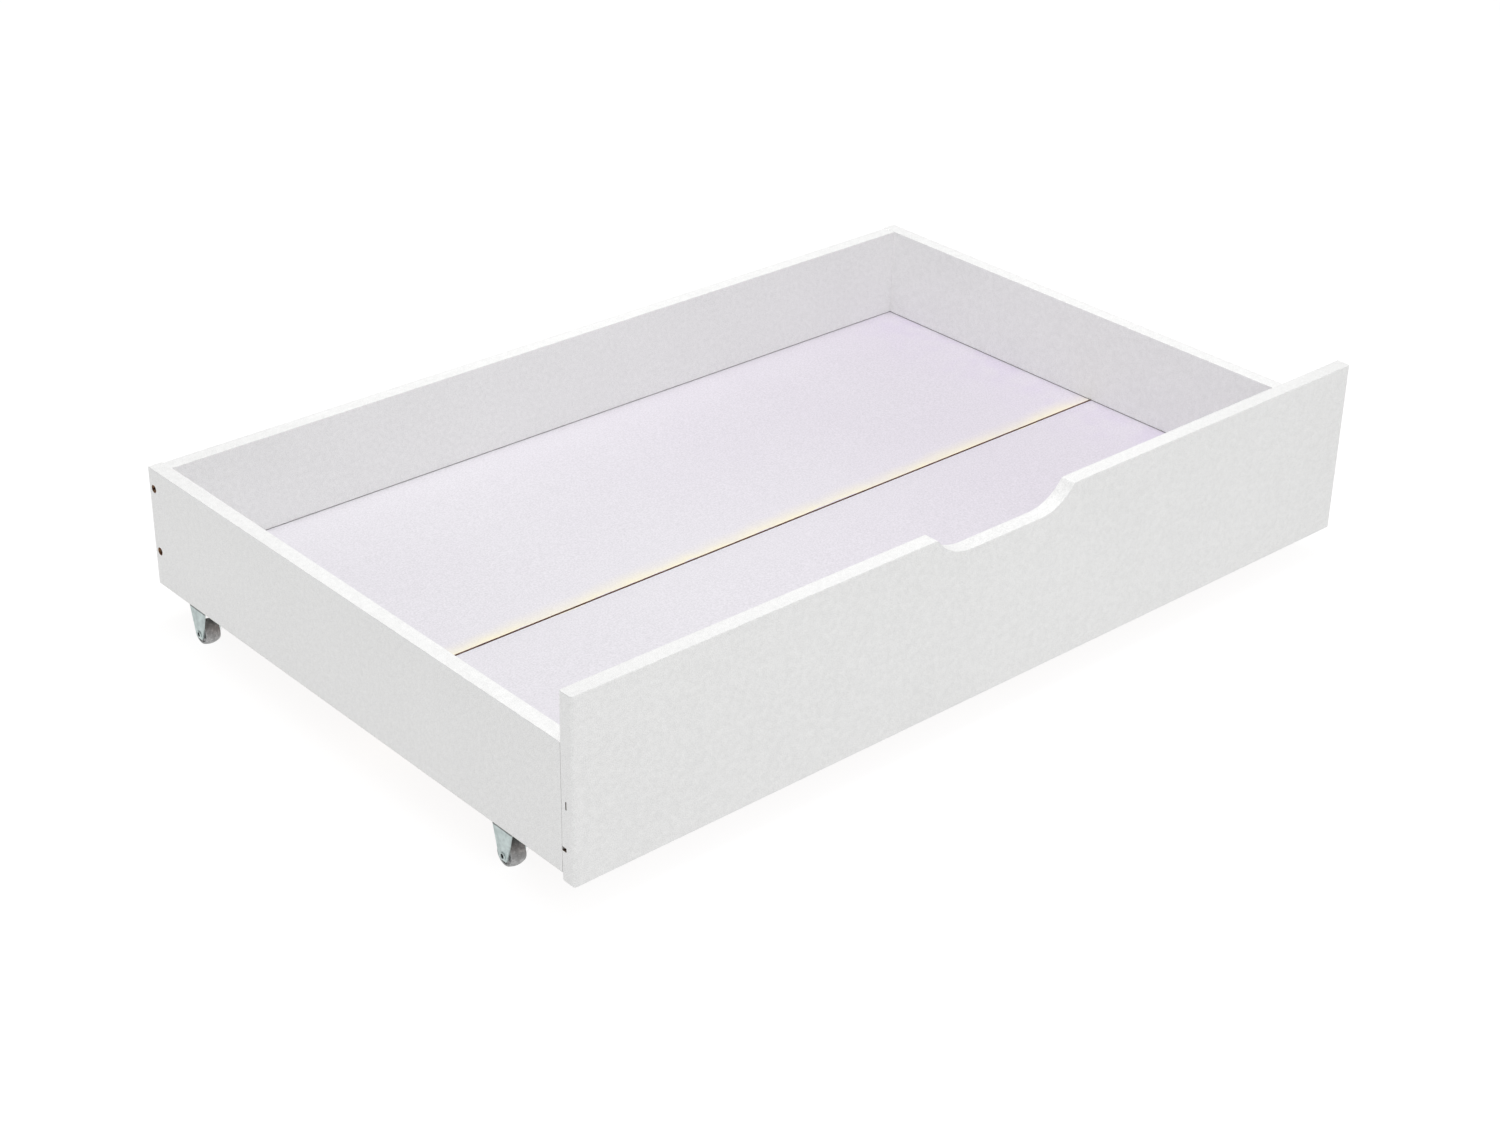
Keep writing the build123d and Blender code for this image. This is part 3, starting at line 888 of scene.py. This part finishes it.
class UNDERBED_OT_rivets(Operator):
    """Model the tubular rivets that the wheels turn on, rolled over at both ends"""

    bl_idname = "under_bed.rivets"
    bl_label = "Rivets"

    def execute(self, context):
        first = "axle_front_left"
        centre, size = middle(first), span(first)
        near_end = self.outline(size.x / 2, size.z / 2)
        # The other end is the same, so the rings run back along the outline.
        far_end = [(-x, radius) for x, radius in reversed(near_end[1:-1])]
        rivet = turned(centre, [*near_end, *far_end], 48)
        rivet = settle(rivet, "rivet_pattern", angle=40)
        rivet.data.materials.append(zinc_finish("rivet_zinc", 0.26).material)
        rivet.data.materials.append(painted_bore_shade_finish().material)
        # Faces inside the bore get the painted shade.
        for face in rivet.data.polygons:
            spot = face.center - centre
            in_shaded_bore = math.hypot(spot.y, spot.z) < RIVET_BORE + 0.7 * MM
            face.material_index = 1 if in_shaded_bore else 0
        for corner in CORNERS:
            node = f"axle_{corner}"
            twin = copy_of(rivet, f"rivet_{corner}", middle(node) - centre)
            hand_over(twin, "box", "zinc_plate", node)
        bpy.data.objects.remove(rivet)
        return {"FINISHED"}

    @staticmethod
    def outline(half, head):
        """One end of the rivet, from the middle of the shank out, round the head and into the bore."""
        seat = half - RIVET_HEAD
        return [
            (0.0, SHANK_RADIUS),
            (seat, SHANK_RADIUS),
            (seat, head - 0.4 * MM),
            (seat + 0.15 * MM, head - 0.1 * MM),
            (seat + 0.4 * MM, head),
            (seat + 0.8 * MM, head - 0.3 * MM),
            (half - 0.1 * MM, head - 0.7 * MM),
            (half, head - 1.0 * MM),
            (half - 0.2 * MM, head - 1.3 * MM),
            (half - 0.7 * MM, head - 1.6 * MM),
            (half - 1.8 * MM, RIVET_BORE + 0.4 * MM),
            (half - 3.0 * MM, RIVET_BORE),
            (0.0, RIVET_BORE),
        ]


class UNDERBED_OT_wheels(Operator):
    """Model the moulded wheels"""

    bl_idname = "under_bed.wheels"
    bl_label = "Caster wheels"

    def execute(self, context):
        first = "wheel_front_left"
        pattern = self.wheel(context, first)
        pattern.data.materials.append(wheel_finish().material)
        for corner in CORNERS:
            node = f"wheel_{corner}"
            wheel = copy_of(pattern, f"caster_wheel_{corner}", middle(node) - middle(first))
            hand_over(wheel, f"{corner}_wheel", "wheel_plastic", node)
        bpy.data.objects.remove(pattern)
        return {"FINISHED"}

    def wheel(self, context, node):
        """A crowned drum, hollowed on both faces round a hub, with ribs and a bore."""
        centre, size = middle(node), span(node)
        radius, half = size.z / 2, size.x / 2
        segments = context.scene.under_bed_box.casters.segments
        deselect_all()
        bpy.ops.mesh.primitive_cylinder_add(
            vertices=segments, radius=radius, depth=size.x, location=centre, rotation=(0, math.pi / 2, 0)
        )
        wheel = context.active_object
        bpy.ops.object.transform_apply(location=True, rotation=True, scale=True)
        bpy.ops.object.mode_set(mode="EDIT")
        self.crown(centre, radius, half)
        for sign in (-1, 1):
            self.face_details(centre, sign, centre.x + sign * half)
        # The bore joins the two hub faces.
        pick("FACE", lambda face: len(face.verts) > 8)
        bpy.ops.mesh.delete(type="ONLY_FACE")
        pick("EDGE", lambda edge: edge.is_boundary)
        bpy.ops.mesh.bridge_edge_loops()
        bpy.ops.mesh.select_all(action="SELECT")
        bpy.ops.mesh.normals_make_consistent(inside=False)
        bpy.ops.object.mode_set(mode="OBJECT")
        sharp = math.radians(40)
        apply_modifier(
            wheel, "BEVEL", width=0.35 * MM, segments=2, limit_method="ANGLE", angle_limit=sharp
        )
        return settle(wheel, "wheel_pattern")

    def crown(self, centre, radius, half):
        """Cuts rings across the tread and draws each in to an arc, down to the shoulders."""
        drop = radius - WHEEL_SHOULDER
        arc = (half**2 + drop**2) / (2 * drop)
        rings = [half * share for share in (-0.93, -0.8, -0.55, -0.28, 0.0, 0.28, 0.55, 0.8, 0.93)]
        for ring in rings:
            bpy.ops.mesh.select_all(action="SELECT")
            bpy.ops.mesh.bisect(plane_co=centre + Vector((ring, 0, 0)), plane_no=(1, 0, 0))
        for ring in [-half, *rings, half]:
            factor = (radius - arc + math.sqrt(arc**2 - ring**2)) / radius
            pick("VERT", lambda vertex: abs(vertex.co.x - centre.x - ring) < NEAR)
            bpy.ops.transform.resize(value=(1, factor, factor), center_override=centre)

    def face_details(self, centre, sign, face_x):
        """Insets one wheel face into rim, hollow and hub, and raises ribs from the hollow."""
        pick("FACE", lambda face: len(face.verts) > 8 and self.lies_at(face, face_x))
        bpy.ops.mesh.inset(thickness=WHEEL_SHOULDER - WHEEL_RIM)
        bpy.ops.mesh.inset(thickness=WHEEL_RIM - WHEEL_HUB)
        bpy.ops.mesh.inset(thickness=WHEEL_HUB - WHEEL_BORE)

        def in_hollow(face):
            spot = face.calc_center_median() - centre
            reach = math.hypot(spot.y, spot.z)
            return self.lies_at(face, face_x) and WHEEL_HUB < reach < WHEEL_RIM

        pick("FACE", in_hollow)
        bpy.ops.mesh.extrude_region_move(TRANSFORM_OT_translate={"value": (-sign * WHEEL_HOLLOW, 0, 0)})

        rib_pitch, rib_reach = 2 * math.pi / RIBS, math.radians(3.8)

        def under_rib(face):
            spot = face.calc_center_median() - centre
            turn = (math.atan2(spot.z, spot.y) + math.pi) % rib_pitch
            floor = self.lies_at(face, face_x - sign * WHEEL_HOLLOW)
            return floor and abs(turn - rib_pitch / 2) < rib_reach

        pick("FACE", under_rib)
        bpy.ops.mesh.extrude_region_move(TRANSFORM_OT_translate={"value": (sign * RIB_HEIGHT, 0, 0)})

    @staticmethod
    def lies_at(face, x):
        """Whether a wheel's face lies in the plane at x."""
        return abs(face.calc_center_median().x - x) < NEAR


class UNDERBED_OT_studio(Operator):
    """Set up the floor, the soft light and the camera"""

    bl_idname = "under_bed.studio"
    bl_label = "Studio"

    def execute(self, context):
        look = context.scene.under_bed_box.studio
        context.scene.view_settings.view_transform = "Standard"
        self.floor(look)
        self.light("top_softbox", *TOP_SOFTBOX, look.top_power)
        self.light("front_left_softbox", *FILL_SOFTBOX, look.fill_power)
        context.scene.world = self.surround(look.surround)
        self.camera(context, look)
        return {"FINISHED"}

    def surround(self, strength):
        """A surround that is plain white behind the box, and dimmer where it lights it."""
        world = bpy.data.worlds.new("studio")
        world.use_nodes = True
        tree = world.node_tree
        background = tree.nodes["Background"]
        background.inputs["Color"].default_value = (1.0, 1.0, 1.0, 1.0)
        seen = tree.nodes.new("ShaderNodeLightPath").outputs["Is Camera Ray"]
        power = tree.nodes.new("ShaderNodeMapRange")
        power.inputs["To Min"].default_value = strength
        power.inputs["To Max"].default_value = 1.0
        tree.links.new(seen, power.inputs["Value"])
        tree.links.new(power.outputs["Result"], background.inputs["Strength"])
        return world

    def floor(self, look):
        """A wide pale floor with a little light of its own."""
        deselect_all()
        bpy.ops.mesh.primitive_plane_add(size=FLOOR_SIZE, location=(0, 0, 0))
        floor = bpy.context.active_object
        floor.name = "studio_floor"
        finish = Finish("studio_floor")
        finish.set(
            Base_Color=(*look.floor, 1.0),
            Roughness=0.9,
            Specular_IOR_Level=0.0,
            Emission_Color=(1.0, 1.0, 1.0, 1.0),
            Emission_Strength=look.floor_glow,
        )
        floor.data.materials.append(finish.material)

    def light(self, name, place, size, power):
        """A soft area light that faces the box."""
        data = bpy.data.lights.new(name, "AREA")
        data.shape = "RECTANGLE"
        data.size, data.size_y = size
        data.energy = power
        lamp = bpy.data.objects.new(name, data)
        lamp.location = place
        lamp.rotation_euler = (-Vector(place)).to_track_quat("-Z", "Y").to_euler()
        bpy.context.scene.collection.objects.link(lamp)

    def camera(self, context, look):
        """Stands the camera in its place and turns it, first about its own line of sight."""
        data = bpy.data.cameras.new("camera")
        data.sensor_width = 36.0
        data.lens = look.lens
        camera = bpy.data.objects.new("camera", data)
        context.scene.collection.objects.link(camera)
        azimuth = Matrix.Rotation(look.azimuth, 4, "Z")
        tilt = Matrix.Rotation(math.pi / 2 - look.elevation, 4, "X")
        roll = Matrix.Rotation(look.roll, 4, "Z")
        camera.matrix_world = Matrix.Translation(look.place) @ azimuth @ tilt @ roll
        context.scene.camera = camera


class UNDERBED_PT_panel(Panel):
    """Lists the settings and the steps"""

    bl_idname = "UNDERBED_PT_panel"
    bl_label = "Under Bed Box"
    bl_space_type = "VIEW_3D"
    bl_region_type = "UI"
    bl_category = "Under Bed Box"

    def draw(self, context):
        settings = context.scene.under_bed_box
        for title in ("boards", "bottom", "casters", "studio"):
            group = getattr(settings, title)
            box = self.layout.box()
            box.label(text=title.title())
            for name in group.bl_rna.properties.keys():
                if name not in ("rna_type", "name"):
                    box.prop(group, name)
        for step in STEPS:
            self.layout.operator(step.bl_idname)


STEPS = (
    UNDERBED_OT_boards,
    UNDERBED_OT_bottom,
    UNDERBED_OT_woodwork,
    UNDERBED_OT_forks,
    UNDERBED_OT_rivets,
    UNDERBED_OT_wheels,
    UNDERBED_OT_studio,
)
CLASSES = (
    BoardSettings,
    BottomSettings,
    CasterSettings,
    StudioSettings,
    UnderBedBoxSettings,
    *STEPS,
    UNDERBED_PT_panel,
)


def register():
    for item in CLASSES:
        bpy.utils.register_class(item)
    bpy.types.Scene.under_bed_box = PointerProperty(type=UnderBedBoxSettings)


def unregister():
    del bpy.types.Scene.under_bed_box
    for item in reversed(CLASSES):
        bpy.utils.unregister_class(item)


def main():
    register()
    bpy.ops.under_bed.boards()
    bpy.ops.under_bed.bottom()
    bpy.ops.under_bed.woodwork()
    bpy.ops.under_bed.forks()
    bpy.ops.under_bed.rivets()
    bpy.ops.under_bed.wheels()
    bpy.ops.under_bed.studio()


if __name__ == "__main__":
    main()
